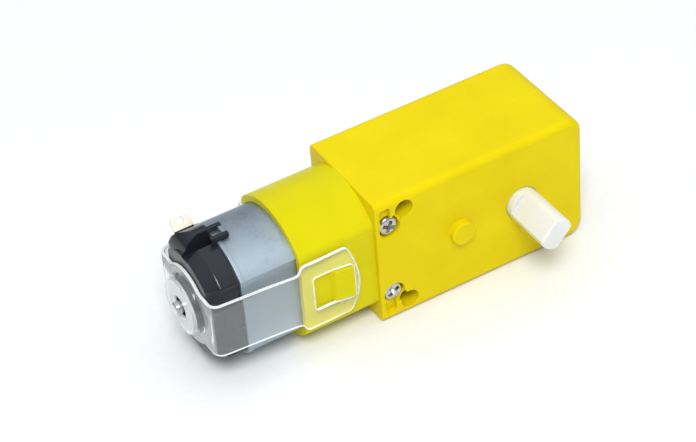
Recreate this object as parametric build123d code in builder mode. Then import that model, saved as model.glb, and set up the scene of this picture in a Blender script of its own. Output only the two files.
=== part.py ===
"""Right-angle geared dc motor: a 130-size brushed motor held by a clear strap in the collar of a
two-part plastic gearbox, with four gear stages and a double-ended output shaft with two flats.

Frame, in millimetres: the output shaft's axis is the Y axis, and its middle is the origin. +X runs
along the body towards the output end, the motor is at -X, and +Z is up. The gearbox halves meet
at Y = 0.
"""

import os
from math import cos, degrees, pi, radians, sin, sqrt, tan

from build123d import *

os.makedirs("parts", exist_ok=True)

# gearbox shell
BOX_MOTOR_X = -25.3  # face that the motor collar stands on
BOX_END_X = 11.2
BOX_HALF_Y = 9.4
BOX_HALF_Z = 11.25
BOX_CORNER = 2.75  # the two corners at the output end
BOX_EDGE = 1.1  # rounding of the long edges of each side face
WALL = 1.5
MOTOR_WALL = 1.6
FLOOR_Y = BOX_HALF_Y - WALL
POST_R = 2.3
PEG_X, PEG_Z, PEG_R, PEG_LENGTH = 8.2, 8.2, 0.7, 2.5
RIM, FINE_RIM = 0.15, 0.1  # rounding of small edges: holes, pockets and lips
MOTOR_EDGE = 0.25  # rounding of the shell's edges at its motor end
PARTING = 0.07  # chamfer along the line where the halves meet

# fasteners and mounting holes
SCREW_X, SCREW_Z = -22.95, 6.3
SCREW_HEAD_R, SCREW_HEAD_H = 1.6, 1.2
SCREW_SINK = 0.3  # the head lies this far below the side face
SCREW_SHANK_R, SCREW_TIP_Y = 0.95, 5.5
MOUNT_X, MOUNT_SPACING, MOUNT_R = -20.4, 17.5, 1.5
POCKET_X, POCKET_Z, POCKET_W, POCKET_H, POCKET_DEPTH = -23.65, 8.65, 1.8, 2.7, 0.9
BRIDGE_X, BRIDGE_Z, BRIDGE_R, BRIDGE_DEPTH = -21.75, 7.5, 0.95, 0.7  # hollow from screw to hole

# shafts
PIN_X, PIN_R = -11.0, 0.975  # gear pin, under the locating boss
PIN_FRONT_Y, PIN_REAR_Y = -9.85, 8.85
BOSS_R, BOSS_H, BOSS_EDGE = 2.0, 1.2, 0.3
OUT_R, OUT_FLATS = 2.7, 3.7
OUT_REACH = 9.2  # beyond each side face
OUT_ROOT = 1.2  # full round length next to the side face
FLAT_TURN = 43.0  # the flats lean this far from upright, towards +X
SPINDLE_R = 1.5
RUN = 0.05  # radial running clearance

# gears
MODULE = 0.5
PRESSURE = radians(20)
SHIFT = 0.25  # pinions are larger and wheels smaller by this share of the module
ADDENDUM, DEDENDUM = 0.92, 1.25
BACKLASH = 0.09
MOTOR_TEETH, CROWN_TEETH = 8, 32
FIRST_TEETH, SECOND_TEETH = 12, 32
THIRD_TEETH, FOURTH_TEETH = 14, 30  # this pair is used twice
CROWN_ROOT_Y, CROWN_TIP_Y, CROWN_BACK_Y = 2.75, 1.72, 4.4
CROWN_R_IN, CROWN_R_OUT = 7.35, 8.3
GEAR_HUB_R = 2.3

# motor, 130 size
CAN_R, CAN_HALF_Y, CAN_SHEET = 10.05, 7.55, 0.5
CAN_FRONT_X, CAN_REAR_X = -26.6, -46.9
CAN_BOSS_R, CAN_BOSS_X = 3.05, -25.15
CAN_LIP_X, CAN_LIP_RISE = -46.2, 0.12  # turned lip at the can's open end
BEARING_R, END_BEARING_R = 2.2, 1.9
BELL_R, BELL_HALF_Y = 9.65, 7.15
BELL_SHOULDER_X, BELL_BACK_R, BELL_BACK_HALF_Y = -49.8, 8.3, 5.8
BELL_REAR_X, BELL_BOSS_X, BELL_FLOOR_X, BELL_PLUG_X = -51.7, -53.0, -50.5, -45.7
END_BOSS_R, END_BEARING_X = 4.0, -52.4
CAVITY_R, CAVITY_HALF_Y = 7.6, 6.0
SADDLE_Z, SADDLE_Y1, SADDLE_END_Y, SADDLE_END_Z = 10.95, 1.5, 5.0, 8.9
CHANNEL_Y0, CHANNEL_Y1, CHANNEL_Z = -0.8, 0.9, 8.0  # slot along the bell, under the saddle's side
PRONG_X, PRONG_T, PRONG_Z, PRONG_ROOT_X = -44.9, 0.65, 10.2, -47.7
TAB_X0, TAB_X1, TAB_Z = -45.6, -45.1, 10.85
MOTOR_SHAFT_R, MOTOR_SHAFT_X0, MOTOR_SHAFT_X1 = 1.0, -54.5, -17.7
CORE_X0, CORE_X1, CORE_R, SHOE_R = -42.2, -32.2, 6.6, 5.7
ARM_W = 1.9
WINDING_OVERHANG, WINDING_HALF, WINDING_R_IN, WINDING_R_OUT = 1.2, 2.4, 2.8, 5.1
COMM_R, COMM_HUB_R, COMM_X0, COMM_X1 = 2.6, 2.0, -48.0, -45.2
MAGNET_R_IN, MAGNET_R_OUT, MAGNET_HALF_Y = 7.05, 9.5, 6.4
MAGNET_X0, MAGNET_X1 = -44.5, -30.5
TERMINAL_Y, TERMINAL_T, TERMINAL_X0, TERMINAL_X1 = 5.2, 0.3, -50.45, -47.3
TERMINAL_BEND_Z, TERMINAL_END_Y, TERMINAL_END_Z = 9.1, 6.6, 10.45  # the tab leans outwards
BRUSH_X0, BRUSH_X1, BRUSH_HALF_Y, LEAF_Z = -47.8, -46.4, 1.0, 3.8

# collar and strap
COLLAR_REAR_X, COLLAR_WALL_X, COLLAR_HALF_Y = -37.8, -26.5, 8.6
COLLAR_PLAY, COLLAR_CORNER = 0.1, 1.2
KEY_HALF_Y, KEY_HALF_Z, KEY_INNER_X, FLANGE_X, FLANGE_HALF_Y = 6.0, 3.2, -23.65, -22.75, 7.2
CATCH_X0, CATCH_X1, CATCH_HALF_Z, CATCH_STEP_Y, CATCH_Y = -33.2, -29.75, 2.7, 9.5, 10.0
STRAP_T, STRAP_REAR_X = 0.5, -52.25
STRAP_ARM_Y, STRAP_BEND_X, STRAP_REAR_Y = 9.15, -38.6, 8.3
STRAP_HEAD_X0, STRAP_HEAD_X1 = -38.4, -28.85
STRAP_HEAD_Z, STRAP_BAND_Z, STRAP_BEND_R = 6.2, 4.8, 1.6
STRAP_EYE_R, STRAP_HOLE_R = 6.4, 4.6
WINDOW_X0, WINDOW_X1, WINDOW_HALF_Z = -36.05, -29.5, 3.0


def facing_y(y, x=0):
    """A sketch plane at this Y: its x is world X, its y is world Z, and extrude goes towards -Y."""
    return Plane(origin=(x, y, 0), x_dir=(1, 0, 0), z_dir=(0, -1, 0))


def facing_x(x):
    """A sketch plane at this X: its x is world Y, its y is world Z, and extrude goes towards +X."""
    return Plane.YZ.offset(x)


def box_outline(inset, motor_inset):
    """The gearbox's outline seen from the side, made smaller all round, in the current sketch."""
    x0 = BOX_MOTOR_X + motor_inset
    x1 = BOX_END_X - inset
    with Locations(((x0 + x1) / 2, 0)):
        Rectangle(x1 - x0, 2 * (BOX_HALF_Z - inset))
    fillet(vertices().group_by(Axis.X)[-1], BOX_CORNER - inset)


def flatted_circle(radius, half_flat):
    """A round profile with a flat on each side, in the current sketch."""
    Circle(radius)
    Rectangle(2 * half_flat, 2 * radius + 2, mode=Mode.INTERSECT)


def double_d():
    """The output shaft's profile with its two flats, in the current sketch."""
    Circle(OUT_R)
    with Locations(Location((0, 0), -FLAT_TURN)):
        Rectangle(OUT_FLATS, 2 * OUT_R + 1, mode=Mode.INTERSECT)


def involute(base_r, start, roll):
    """The point reached when a thread is unwound from the base circle through the angle roll."""
    x = base_r * (cos(roll) + roll * sin(roll))
    y = base_r * (sin(roll) - roll * cos(roll))
    return Vector(x, y).rotate(Axis.Z, degrees(start))


def gear_face(teeth, shift, phase):
    """A spur gear's face, flat on XY; phase is the angle of the middle of one tooth."""
    pitch_r = MODULE * teeth / 2
    base_r = pitch_r * cos(PRESSURE)
    root_r = pitch_r - MODULE * (DEDENDUM - shift)
    tip_r = pitch_r + MODULE * (ADDENDUM + shift)
    thick = MODULE * (pi / 2 + 2 * shift * tan(PRESSURE)) - BACKLASH
    start = -(thick / (2 * pitch_r) + tan(PRESSURE) - PRESSURE)
    radii = (base_r, (base_r + tip_r) / 2, tip_r)
    flank = [involute(base_r, start, sqrt((r / base_r) ** 2 - 1)) for r in radii]
    foot = Vector(root_r, 0).rotate(Axis.Z, degrees(start))
    with BuildSketch() as face:
        with BuildLine():
            for k in range(teeth):
                turn = 360 * k / teeth
                rise = [p.rotate(Axis.Z, turn) for p in [foot] + flank]
                fall = [Vector(p.X, -p.Y).rotate(Axis.Z, turn) for p in [foot] + flank]
                Line(rise[0], rise[1])
                ThreePointArc(rise[1], rise[2], rise[3])
                Line(rise[3], fall[3])
                ThreePointArc(fall[3], fall[2], fall[1])
                Line(fall[1], fall[0])
                Line(fall[0], rise[0].rotate(Axis.Z, 360 / teeth))
        make_face()
    return face.sketch.rotate(Axis.Z, phase)


def half_shell(side):
    """What both gearbox halves share; side is -1 for the boss side and 1 for the other."""
    with BuildPart() as half:
        with BuildSketch(facing_y(0)):
            box_outline(0, 0)
        extrude(amount=-side * BOX_HALF_Y)
        rim = edges().filter_by_position(Axis.Y, side * BOX_HALF_Y - 0.01, side * BOX_HALF_Y + 0.01)
        fillet(rim.sort_by(Axis.X)[1:], BOX_EDGE)
        fillet(faces().sort_by(Axis.X)[0].edges().sort_by(Axis.Y, reverse=side < 0)[1:], MOTOR_EDGE)
        seam = faces().sort_by(Axis.Y, reverse=side < 0)[0].edges()
        chamfer(seam.sort_by(Axis.X)[1:], PARTING)
        with BuildSketch(facing_y(0)):
            box_outline(WALL, MOTOR_WALL)
        extrude(amount=-side * FLOOR_Y, mode=Mode.SUBTRACT)
        with BuildSketch(facing_y(0)):
            with Locations((SCREW_X, SCREW_Z), (SCREW_X, -SCREW_Z)):
                Circle(POST_R)
            with Locations((MOUNT_X, MOUNT_SPACING / 2), (MOUNT_X, -MOUNT_SPACING / 2)):
                Circle(POST_R)
            with Locations((PEG_X, PEG_Z), (PEG_X, -PEG_Z)):
                Circle(PEG_R + 1)
        extrude(amount=-side * (FLOOR_Y + 0.2))
        with BuildSketch(facing_y(0)):
            with Locations((MOUNT_X, MOUNT_SPACING / 2), (MOUNT_X, -MOUNT_SPACING / 2)):
                Circle(MOUNT_R)
            Circle(OUT_R + RUN)
        extrude(amount=-side * (BOX_HALF_Y + 1), mode=Mode.SUBTRACT)
        with BuildSketch(facing_y(side * BOX_HALF_Y)):
            with Locations((POCKET_X, POCKET_Z), (POCKET_X, -POCKET_Z)):
                RectangleRounded(POCKET_W, POCKET_H, 0.5)
        extrude(amount=side * POCKET_DEPTH, mode=Mode.SUBTRACT)
        with BuildSketch(facing_x(BOX_MOTOR_X - 1)):
            Rectangle(2 * KEY_HALF_Y + 0.1, 2 * KEY_HALF_Z + 0.1)
        extrude(amount=MOTOR_WALL + 1.5, mode=Mode.SUBTRACT)
    return half.part


# ---------------------------------------------------------------- gearbox shell
front_blank = half_shell(-1)

with BuildPart() as front_half_shell:
    add(front_blank)
    with BuildSketch(facing_y(-BOX_HALF_Y + 0.5, PIN_X)):
        Circle(BOSS_R)
    extrude(amount=BOSS_H + 0.5)
    boss_edges = edges().filter_by(GeomType.CIRCLE)
    fillet(boss_edges.sort_by(Axis.Y)[0], BOSS_EDGE)
    with BuildSketch(facing_y(0, PIN_X)):
        Circle(PIN_R + 0.01)
    extrude(amount=-PIN_FRONT_Y + 0.05, mode=Mode.SUBTRACT)
    with BuildSketch(facing_y(0)):
        with Locations((SCREW_X, SCREW_Z), (SCREW_X, -SCREW_Z)):
            Circle(SCREW_SHANK_R + 0.15)
    extrude(amount=BOX_HALF_Y + 1, mode=Mode.SUBTRACT)
    with BuildSketch(facing_y(-BOX_HALF_Y + SCREW_SINK + SCREW_HEAD_H)):
        with Locations((SCREW_X, SCREW_Z), (SCREW_X, -SCREW_Z)):
            Circle(SCREW_HEAD_R + 0.15)
    extrude(amount=5, mode=Mode.SUBTRACT)
    with BuildSketch(facing_y(-BOX_HALF_Y + BRIDGE_DEPTH)):
        with Locations((BRIDGE_X, BRIDGE_Z), (BRIDGE_X, -BRIDGE_Z)):
            Circle(BRIDGE_R)
    extrude(amount=3, mode=Mode.SUBTRACT)
    side_face = faces().filter_by(Axis.Y).sort_by(SortBy.AREA)[-2:].sort_by(Axis.Y)[0]
    fillet(side_face.inner_wires().edges(), RIM)
    side_face = faces().filter_by(Axis.Y).sort_by(SortBy.AREA)[-2:].sort_by(Axis.Y)[0]
    recess_rim = side_face.edges().filter_by_position(Axis.X, BOX_MOTOR_X + 0.4, MOUNT_X + 1.8)
    flat_half_z = BOX_HALF_Z - BOX_EDGE - 0.1
    fillet(recess_rim.filter_by_position(Axis.Z, -flat_half_z, flat_half_z), FINE_RIM)
    with BuildSketch(facing_y(0)):
        with Locations((PEG_X, PEG_Z), (PEG_X, -PEG_Z)):
            Circle(PEG_R + 0.05)
    extrude(amount=PEG_LENGTH + 0.3, mode=Mode.SUBTRACT)
front_half_shell.part.label = "front_half_shell"
export_step(front_half_shell.part, "parts/front_half_shell.step")

rear_blank = half_shell(1)

with BuildPart() as rear_half_shell:
    add(rear_blank)
    with BuildSketch(facing_y(FLOOR_Y + 0.2, PIN_X)):
        Circle(2.5)
    extrude(amount=0.6)
    with BuildSketch(facing_y(PIN_REAR_Y + 0.05, PIN_X)):
        Circle(PIN_R + 0.01)
    extrude(amount=5, mode=Mode.SUBTRACT)
    with BuildSketch(facing_y(SCREW_TIP_Y + 0.3)):
        with Locations((SCREW_X, SCREW_Z), (SCREW_X, -SCREW_Z)):
            Circle(SCREW_SHANK_R + 0.02)
    extrude(amount=SCREW_TIP_Y + 1, mode=Mode.SUBTRACT)
    with BuildSketch(facing_y(1)):
        with Locations((PEG_X, PEG_Z), (PEG_X, -PEG_Z)):
            Circle(PEG_R)
    extrude(amount=PEG_LENGTH + 1)
    side_face = faces().filter_by(Axis.Y).sort_by(SortBy.AREA)[-2:].sort_by(Axis.Y)[-1]
    fillet(side_face.inner_wires().edges(), FINE_RIM)
rear_half_shell.part.label = "rear_half_shell"
export_step(rear_half_shell.part, "parts/rear_half_shell.step")

with BuildPart() as case_screws:
    with BuildSketch(facing_y(-BOX_HALF_Y + SCREW_SINK + SCREW_HEAD_H)):
        with Locations((SCREW_X, SCREW_Z), (SCREW_X, -SCREW_Z)):
            Circle(SCREW_HEAD_R)
    extrude(amount=SCREW_HEAD_H)
    fillet(edges().filter_by(GeomType.CIRCLE).group_by(Axis.Y)[0], 0.35)
    with BuildSketch(facing_y(SCREW_TIP_Y)):
        with Locations((SCREW_X, SCREW_Z), (SCREW_X, -SCREW_Z)):
            Circle(SCREW_SHANK_R)
    extrude(amount=SCREW_TIP_Y + BOX_HALF_Y - SCREW_SINK - SCREW_HEAD_H + 0.2)
    with BuildSketch(facing_y(-BOX_HALF_Y + SCREW_SINK + 0.6)):
        with Locations((SCREW_X, SCREW_Z), (SCREW_X, -SCREW_Z)):
            Rectangle(1.9, 0.42)
            Rectangle(0.42, 1.9)
    extrude(amount=2, mode=Mode.SUBTRACT)
case_screws.part.label = "case_screws"
export_step(case_screws.part, "parts/case_screws.step")

# ---------------------------------------------------------------- collar and strap
with BuildPart() as motor_collar:
    with BuildSketch(facing_x(COLLAR_REAR_X)):
        flatted_circle(BOX_HALF_Z, COLLAR_HALF_Y)
        fillet(vertices(), COLLAR_CORNER)
    extrude(amount=BOX_MOTOR_X - COLLAR_REAR_X)
    fillet(faces().sort_by(Axis.X)[0].edges(), RIM)
    with BuildSketch(facing_x(COLLAR_REAR_X)):
        flatted_circle(CAN_R + COLLAR_PLAY, CAN_HALF_Y + COLLAR_PLAY)
    extrude(amount=COLLAR_WALL_X - COLLAR_REAR_X, mode=Mode.SUBTRACT)
    with BuildSketch(facing_x(BOX_MOTOR_X - 0.5)):
        Rectangle(2 * KEY_HALF_Y, 2 * KEY_HALF_Z)
    extrude(amount=KEY_INNER_X - BOX_MOTOR_X + 0.5)
    with BuildSketch(facing_x(KEY_INNER_X)):
        Rectangle(2 * FLANGE_HALF_Y, 2 * KEY_HALF_Z)
    extrude(amount=FLANGE_X - KEY_INNER_X)
    with BuildSketch(facing_x(COLLAR_WALL_X - 1)):
        Circle(CAN_BOSS_R + COLLAR_PLAY)
    extrude(amount=CAN_BOSS_X - COLLAR_WALL_X + 1.05, mode=Mode.SUBTRACT)
    with BuildSketch(facing_x(COLLAR_WALL_X)):
        Circle(1.9)
    extrude(amount=5, mode=Mode.SUBTRACT)
    with BuildSketch(Plane.XY.offset(-CATCH_HALF_Z)):
        with BuildLine():
            Polyline(
                (CATCH_X0, COLLAR_HALF_Y - 0.3),
                (CATCH_X0, COLLAR_HALF_Y),
                (CATCH_X0 + 0.6, CATCH_STEP_Y),
                (CATCH_X1, CATCH_Y),
                (CATCH_X1, COLLAR_HALF_Y - 0.3),
                close=True,
            )
        make_face()
        mirror(about=Plane.XZ)
    extrude(amount=2 * CATCH_HALF_Z)
motor_collar.part.label = "motor_collar"
export_step(motor_collar.part, "parts/motor_collar.step")

with BuildSketch() as strap_hollow:
    with BuildLine():
        Polyline(
            (STRAP_HEAD_X1 + 1, -STRAP_ARM_Y + STRAP_T),
            (STRAP_BEND_X, -STRAP_ARM_Y + STRAP_T),
            (STRAP_REAR_X + STRAP_T, -STRAP_REAR_Y + STRAP_T),
            (STRAP_REAR_X + STRAP_T, STRAP_REAR_Y - STRAP_T),
            (STRAP_BEND_X, STRAP_ARM_Y - STRAP_T),
            (STRAP_HEAD_X1 + 1, STRAP_ARM_Y - STRAP_T),
            close=True,
        )
    make_face()
    fillet(vertices().group_by(Axis.X)[0], STRAP_BEND_R - STRAP_T)
strap_inside = strap_hollow.sketch

with BuildPart() as retaining_strap:
    with BuildSketch(Plane.XY.offset(-STRAP_HEAD_Z)):
        with BuildLine():
            Polyline(
                (STRAP_HEAD_X1, -STRAP_ARM_Y),
                (STRAP_BEND_X, -STRAP_ARM_Y),
                (STRAP_REAR_X, -STRAP_REAR_Y),
                (STRAP_REAR_X, STRAP_REAR_Y),
                (STRAP_BEND_X, STRAP_ARM_Y),
                (STRAP_HEAD_X1, STRAP_ARM_Y),
                close=True,
            )
        make_face()
        fillet(vertices().group_by(Axis.X)[0], STRAP_BEND_R)
        add(strap_inside, mode=Mode.SUBTRACT)
    extrude(amount=2 * STRAP_HEAD_Z)
    with BuildSketch(facing_y(STRAP_ARM_Y + 1)):
        with Locations(((STRAP_HEAD_X0 + STRAP_HEAD_X1) / 2, 0)):
            Rectangle(STRAP_HEAD_X1 - STRAP_HEAD_X0, 2 * STRAP_HEAD_Z)
        with Locations(((STRAP_REAR_X + STRAP_HEAD_X0) / 2, 0)):
            Rectangle(STRAP_HEAD_X0 - STRAP_REAR_X + 1, 2 * STRAP_BAND_Z)
        with Locations(((WINDOW_X0 + WINDOW_X1) / 2, 0)):
            Rectangle(WINDOW_X1 - WINDOW_X0, 2 * WINDOW_HALF_Z, mode=Mode.SUBTRACT)
    extrude(amount=2 * STRAP_ARM_Y + 2, mode=Mode.INTERSECT)
    with BuildSketch(facing_x(STRAP_REAR_X)):
        Circle(STRAP_EYE_R)
    extrude(amount=STRAP_T)
    with BuildSketch(facing_x(STRAP_REAR_X - 1)):
        Circle(STRAP_HOLE_R)
    extrude(amount=STRAP_T + 2, mode=Mode.SUBTRACT)
retaining_strap.part.label = "retaining_strap"
export_step(retaining_strap.part, "parts/retaining_strap.step")

# ---------------------------------------------------------------- motor, fixed pieces
with BuildPart() as motor_can:
    with BuildSketch(facing_x(CAN_REAR_X)):
        flatted_circle(CAN_R, CAN_HALF_Y)
    extrude(amount=CAN_FRONT_X - CAN_REAR_X)
    fillet(faces().sort_by(Axis.X)[-1].edges(), 0.45)
    with BuildSketch(facing_x(CAN_REAR_X)):
        flatted_circle(CAN_R + CAN_LIP_RISE, CAN_HALF_Y + CAN_LIP_RISE)
    extrude(amount=CAN_LIP_X - CAN_REAR_X)
    fillet(faces().sort_by(Axis.X)[0].edges(), RIM)
    lip_front = edges().filter_by_position(Axis.X, CAN_LIP_X - 0.001, CAN_LIP_X + 0.001)
    chamfer(lip_front.filter_by(GeomType.CIRCLE).group_by(SortBy.RADIUS)[-1], CAN_LIP_RISE / 2)
    with BuildSketch(facing_x(TAB_X0)):
        with Locations(((CHANNEL_Y0 + CHANNEL_Y1) / 2, TAB_Z - 0.5)):
            RectangleRounded(CHANNEL_Y1 - CHANNEL_Y0 - 0.1, 1, 0.15)
    extrude(amount=TAB_X1 - TAB_X0)
    with BuildSketch(facing_x(TAB_X0)):
        with Locations(((CHANNEL_Y0 + CHANNEL_Y1) / 2, 0.5 - TAB_Z)):
            RectangleRounded(CHANNEL_Y1 - CHANNEL_Y0 - 0.1, 1, 0.15)
    extrude(amount=TAB_X1 - TAB_X0)
    with BuildSketch(facing_x(CAN_REAR_X)):
        flatted_circle(CAN_R - CAN_SHEET, CAN_HALF_Y - CAN_SHEET)
    extrude(amount=CAN_FRONT_X - CAN_REAR_X - CAN_SHEET, mode=Mode.SUBTRACT)
    with BuildSketch(facing_x(CAN_FRONT_X - CAN_SHEET)):
        Circle(CAN_BOSS_R)
    extrude(amount=CAN_BOSS_X - CAN_FRONT_X + CAN_SHEET)
    with BuildSketch(facing_x(CAN_FRONT_X - 2)):
        Circle(BEARING_R)
    extrude(amount=5, mode=Mode.SUBTRACT)
motor_can.part.label = "motor_can"
export_step(motor_can.part, "parts/motor_can.step")

with BuildPart() as can_bearing:
    with BuildSketch(facing_x(CAN_FRONT_X - 1)):
        Circle(BEARING_R)
        Circle(MOTOR_SHAFT_R + 0.03, mode=Mode.SUBTRACT)
    extrude(amount=CAN_BOSS_X - CAN_FRONT_X + 0.9)
can_bearing.part.label = "can_bearing"
export_step(can_bearing.part, "parts/can_bearing.step")

with BuildPart() as magnet_upper:
    with BuildSketch(facing_x(MAGNET_X0)):
        Circle(MAGNET_R_OUT)
        Circle(MAGNET_R_IN, mode=Mode.SUBTRACT)
        with Locations((0, MAGNET_R_IN)):
            Rectangle(2 * MAGNET_HALF_Y, 8, mode=Mode.INTERSECT)
    extrude(amount=MAGNET_X1 - MAGNET_X0)
magnet_upper.part.label = "magnet_upper"
export_step(magnet_upper.part, "parts/magnet_upper.step")

with BuildPart() as magnet_lower:
    mirror(magnet_upper.part, about=Plane.XY)
magnet_lower.part.label = "magnet_lower"
export_step(magnet_lower.part, "parts/magnet_lower.step")

with BuildPart() as bell_drum:
    with BuildSketch(facing_x(BELL_SHOULDER_X)):
        flatted_circle(BELL_R, BELL_HALF_Y)
        fillet(vertices(), 0.5)
    extrude(amount=CAN_REAR_X - BELL_SHOULDER_X)
    with BuildSketch(facing_x(BELL_SHOULDER_X)):
        flatted_circle(BELL_R, BELL_HALF_Y)
        fillet(vertices(), 0.5)
    with BuildSketch(facing_x(BELL_REAR_X)):
        flatted_circle(BELL_BACK_R, BELL_BACK_HALF_Y)
        fillet(vertices(), 0.5)
    loft()
    shoulder = edges().filter_by_position(Axis.X, BELL_SHOULDER_X - 0.01, BELL_SHOULDER_X + 0.01)
    fillet(shoulder, 0.35)
    fillet(faces().sort_by(Axis.X)[0].edges(), 0.4)

with BuildPart() as bell_saddle:
    with BuildSketch(facing_x(BELL_REAR_X)):
        with BuildLine():
            Polyline(
                (SADDLE_END_Y, SADDLE_END_Z),
                (SADDLE_END_Y + 0.6, SADDLE_END_Z - 1.5),
                (SADDLE_END_Y, 6),
                (CHANNEL_Y1, 6),
                (CHANNEL_Y1, SADDLE_Z),
                (SADDLE_Y1, SADDLE_Z),
            )
            ThreePointArc(
                (SADDLE_Y1, SADDLE_Z),
                ((SADDLE_Y1 + SADDLE_END_Y) / 2, (SADDLE_Z + SADDLE_END_Z) / 2 + 0.35),
                (SADDLE_END_Y, SADDLE_END_Z),
            )
        make_face()
    extrude(amount=CAN_REAR_X - BELL_REAR_X - 0.02)
    with BuildSketch(facing_y(10)):
        with BuildLine():
            Polyline(
                (CAN_REAR_X, 0),
                (CAN_REAR_X, SADDLE_Z + 1),
                (BELL_REAR_X + 3.0, SADDLE_Z + 1),
                (BELL_REAR_X + 3.0, SADDLE_Z),
            )
            ThreePointArc(
                (BELL_REAR_X + 3.0, SADDLE_Z),
                (BELL_REAR_X + 1.1, SADDLE_Z - 1.35),
                (BELL_REAR_X + 0.2, SADDLE_Z - 3.7),
            )
            Polyline(
                (BELL_REAR_X + 0.2, SADDLE_Z - 3.7),
                (BELL_REAR_X + 0.2, 0),
                (CAN_REAR_X, 0),
            )
        make_face()
    extrude(amount=20, mode=Mode.INTERSECT)
    with BuildSketch(facing_x(PRONG_ROOT_X)):
        with Locations((CHANNEL_Y0 - PRONG_T / 2, (SADDLE_Z + 8) / 2)):
            Rectangle(PRONG_T, SADDLE_Z - 8)
    extrude(amount=CAN_REAR_X - 0.02 - PRONG_ROOT_X)
    with BuildSketch(facing_x(CAN_REAR_X - 0.6)):
        with Locations((CHANNEL_Y0 - PRONG_T / 2, (PRONG_Z + SADDLE_Z) / 2)):
            Rectangle(PRONG_T, SADDLE_Z - PRONG_Z)
        with Locations((CHANNEL_Y1 + PRONG_T / 2, (PRONG_Z + SADDLE_Z) / 2)):
            Rectangle(PRONG_T, SADDLE_Z - PRONG_Z)
    extrude(amount=PRONG_X - CAN_REAR_X + 0.6)

bell_saddles = [bell_saddle.part, bell_saddle.part.mirror(Plane.XY)]

with BuildPart() as end_bell:
    add(bell_drum.part)
    add(bell_saddles)
    with BuildSketch(facing_x(CAN_REAR_X)):
        flatted_circle(CAN_R - CAN_SHEET - 0.05, CAN_HALF_Y - CAN_SHEET - 0.05)
    extrude(amount=BELL_PLUG_X - CAN_REAR_X)
    with BuildSketch(facing_x(BELL_FLOOR_X)):
        flatted_circle(CAVITY_R, CAVITY_HALF_Y)
    extrude(amount=BELL_PLUG_X - BELL_FLOOR_X, mode=Mode.SUBTRACT)
    for side in (1, -1):
        with BuildSketch(facing_x(BELL_REAR_X - 1)):
            with Locations(((CHANNEL_Y0 + CHANNEL_Y1) / 2, side * (CHANNEL_Z + 2))):
                Rectangle(CHANNEL_Y1 - CHANNEL_Y0, 4)
        extrude(amount=CAN_REAR_X - 0.02 - BELL_REAR_X + 1, mode=Mode.SUBTRACT)
    with BuildSketch(facing_x(BELL_BOSS_X)):
        Circle(END_BOSS_R)
    extrude(amount=BELL_FLOOR_X - BELL_BOSS_X)
    fillet(edges().filter_by(GeomType.CIRCLE).sort_by(Axis.X)[0], 0.25)
    with BuildSketch(facing_x(BELL_BOSS_X - 1)):
        Circle(END_BEARING_R)
    extrude(amount=BELL_FLOOR_X - BELL_BOSS_X + 2, mode=Mode.SUBTRACT)
    chamfer(edges().filter_by(GeomType.CIRCLE).group_by(Axis.X)[0].sort_by(SortBy.RADIUS)[0], 0.25)
    with BuildSketch(facing_y(TERMINAL_Y + TERMINAL_T + 0.05)):
        with Locations(((TERMINAL_X0 + TERMINAL_X1) / 2, 0)):
            Rectangle(TERMINAL_X1 - TERMINAL_X0 + 0.1, 2 * BELL_R + 2)
    extrude(amount=TERMINAL_T + 0.1, mode=Mode.SUBTRACT)
end_bell.part.label = "end_bell"
export_step(end_bell.part, "parts/end_bell.step")

with BuildPart() as end_bell_bearing:
    with BuildSketch(facing_x(END_BEARING_X)):
        Circle(END_BEARING_R)
        Circle(MOTOR_SHAFT_R + 0.03, mode=Mode.SUBTRACT)
    extrude(amount=BELL_FLOOR_X - END_BEARING_X)
end_bell_bearing.part.label = "end_bell_bearing"
export_step(end_bell_bearing.part, "parts/end_bell_bearing.step")

TAB_PLANE = Plane(
    origin=((TERMINAL_X0 + TERMINAL_X1) / 2, TERMINAL_Y + 1.0, TERMINAL_BEND_Z + 0.8),
    x_dir=(1, 0, 0),
    z_dir=(0, TERMINAL_BEND_Z - TERMINAL_END_Z, TERMINAL_END_Y - TERMINAL_Y),
)

with BuildPart() as terminal_upper:
    with BuildSketch(facing_x(TERMINAL_X0)):
        with BuildLine():
            Polyline(
                (TERMINAL_Y, LEAF_Z),
                (TERMINAL_Y, TERMINAL_BEND_Z),
                (TERMINAL_END_Y, TERMINAL_END_Z),
                (TERMINAL_END_Y + 0.7 * TERMINAL_T, TERMINAL_END_Z - 0.7 * TERMINAL_T),
                (TERMINAL_Y + TERMINAL_T, TERMINAL_BEND_Z - 0.4 * TERMINAL_T),
                (TERMINAL_Y + TERMINAL_T, LEAF_Z),
                close=True,
            )
        make_face()
    extrude(amount=TERMINAL_X1 - TERMINAL_X0)
    tab_corners = edges().filter_by(lambda edge: abs(edge.length - TERMINAL_T) < 0.02)
    fillet(tab_corners.group_by(Axis.Z)[-1], 0.6)
    with BuildSketch(TAB_PLANE):
        Circle(0.5)
    extrude(amount=1, both=True, mode=Mode.SUBTRACT)
    with BuildSketch(facing_y(TERMINAL_Y + TERMINAL_T)):
        with Locations(((TERMINAL_X0 + BRUSH_X1) / 2, LEAF_Z + 0.6)):
            Rectangle(BRUSH_X1 - TERMINAL_X0, 1.2)
    extrude(amount=TERMINAL_T)
    with BuildSketch(Plane.XY.offset(LEAF_Z)):
        with Locations(((BRUSH_X0 + BRUSH_X1) / 2, (TERMINAL_Y + TERMINAL_T - 2.2) / 2)):
            Rectangle(BRUSH_X1 - BRUSH_X0, TERMINAL_Y + TERMINAL_T + 2.2)
    extrude(amount=0.25)
terminal_upper.part.label = "terminal_upper"
export_step(terminal_upper.part, "parts/terminal_upper.step")

with BuildPart() as terminal_lower:
    mirror(terminal_upper.part, about=Plane.XY)
terminal_lower.part.label = "terminal_lower"
export_step(terminal_lower.part, "parts/terminal_lower.step")

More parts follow.
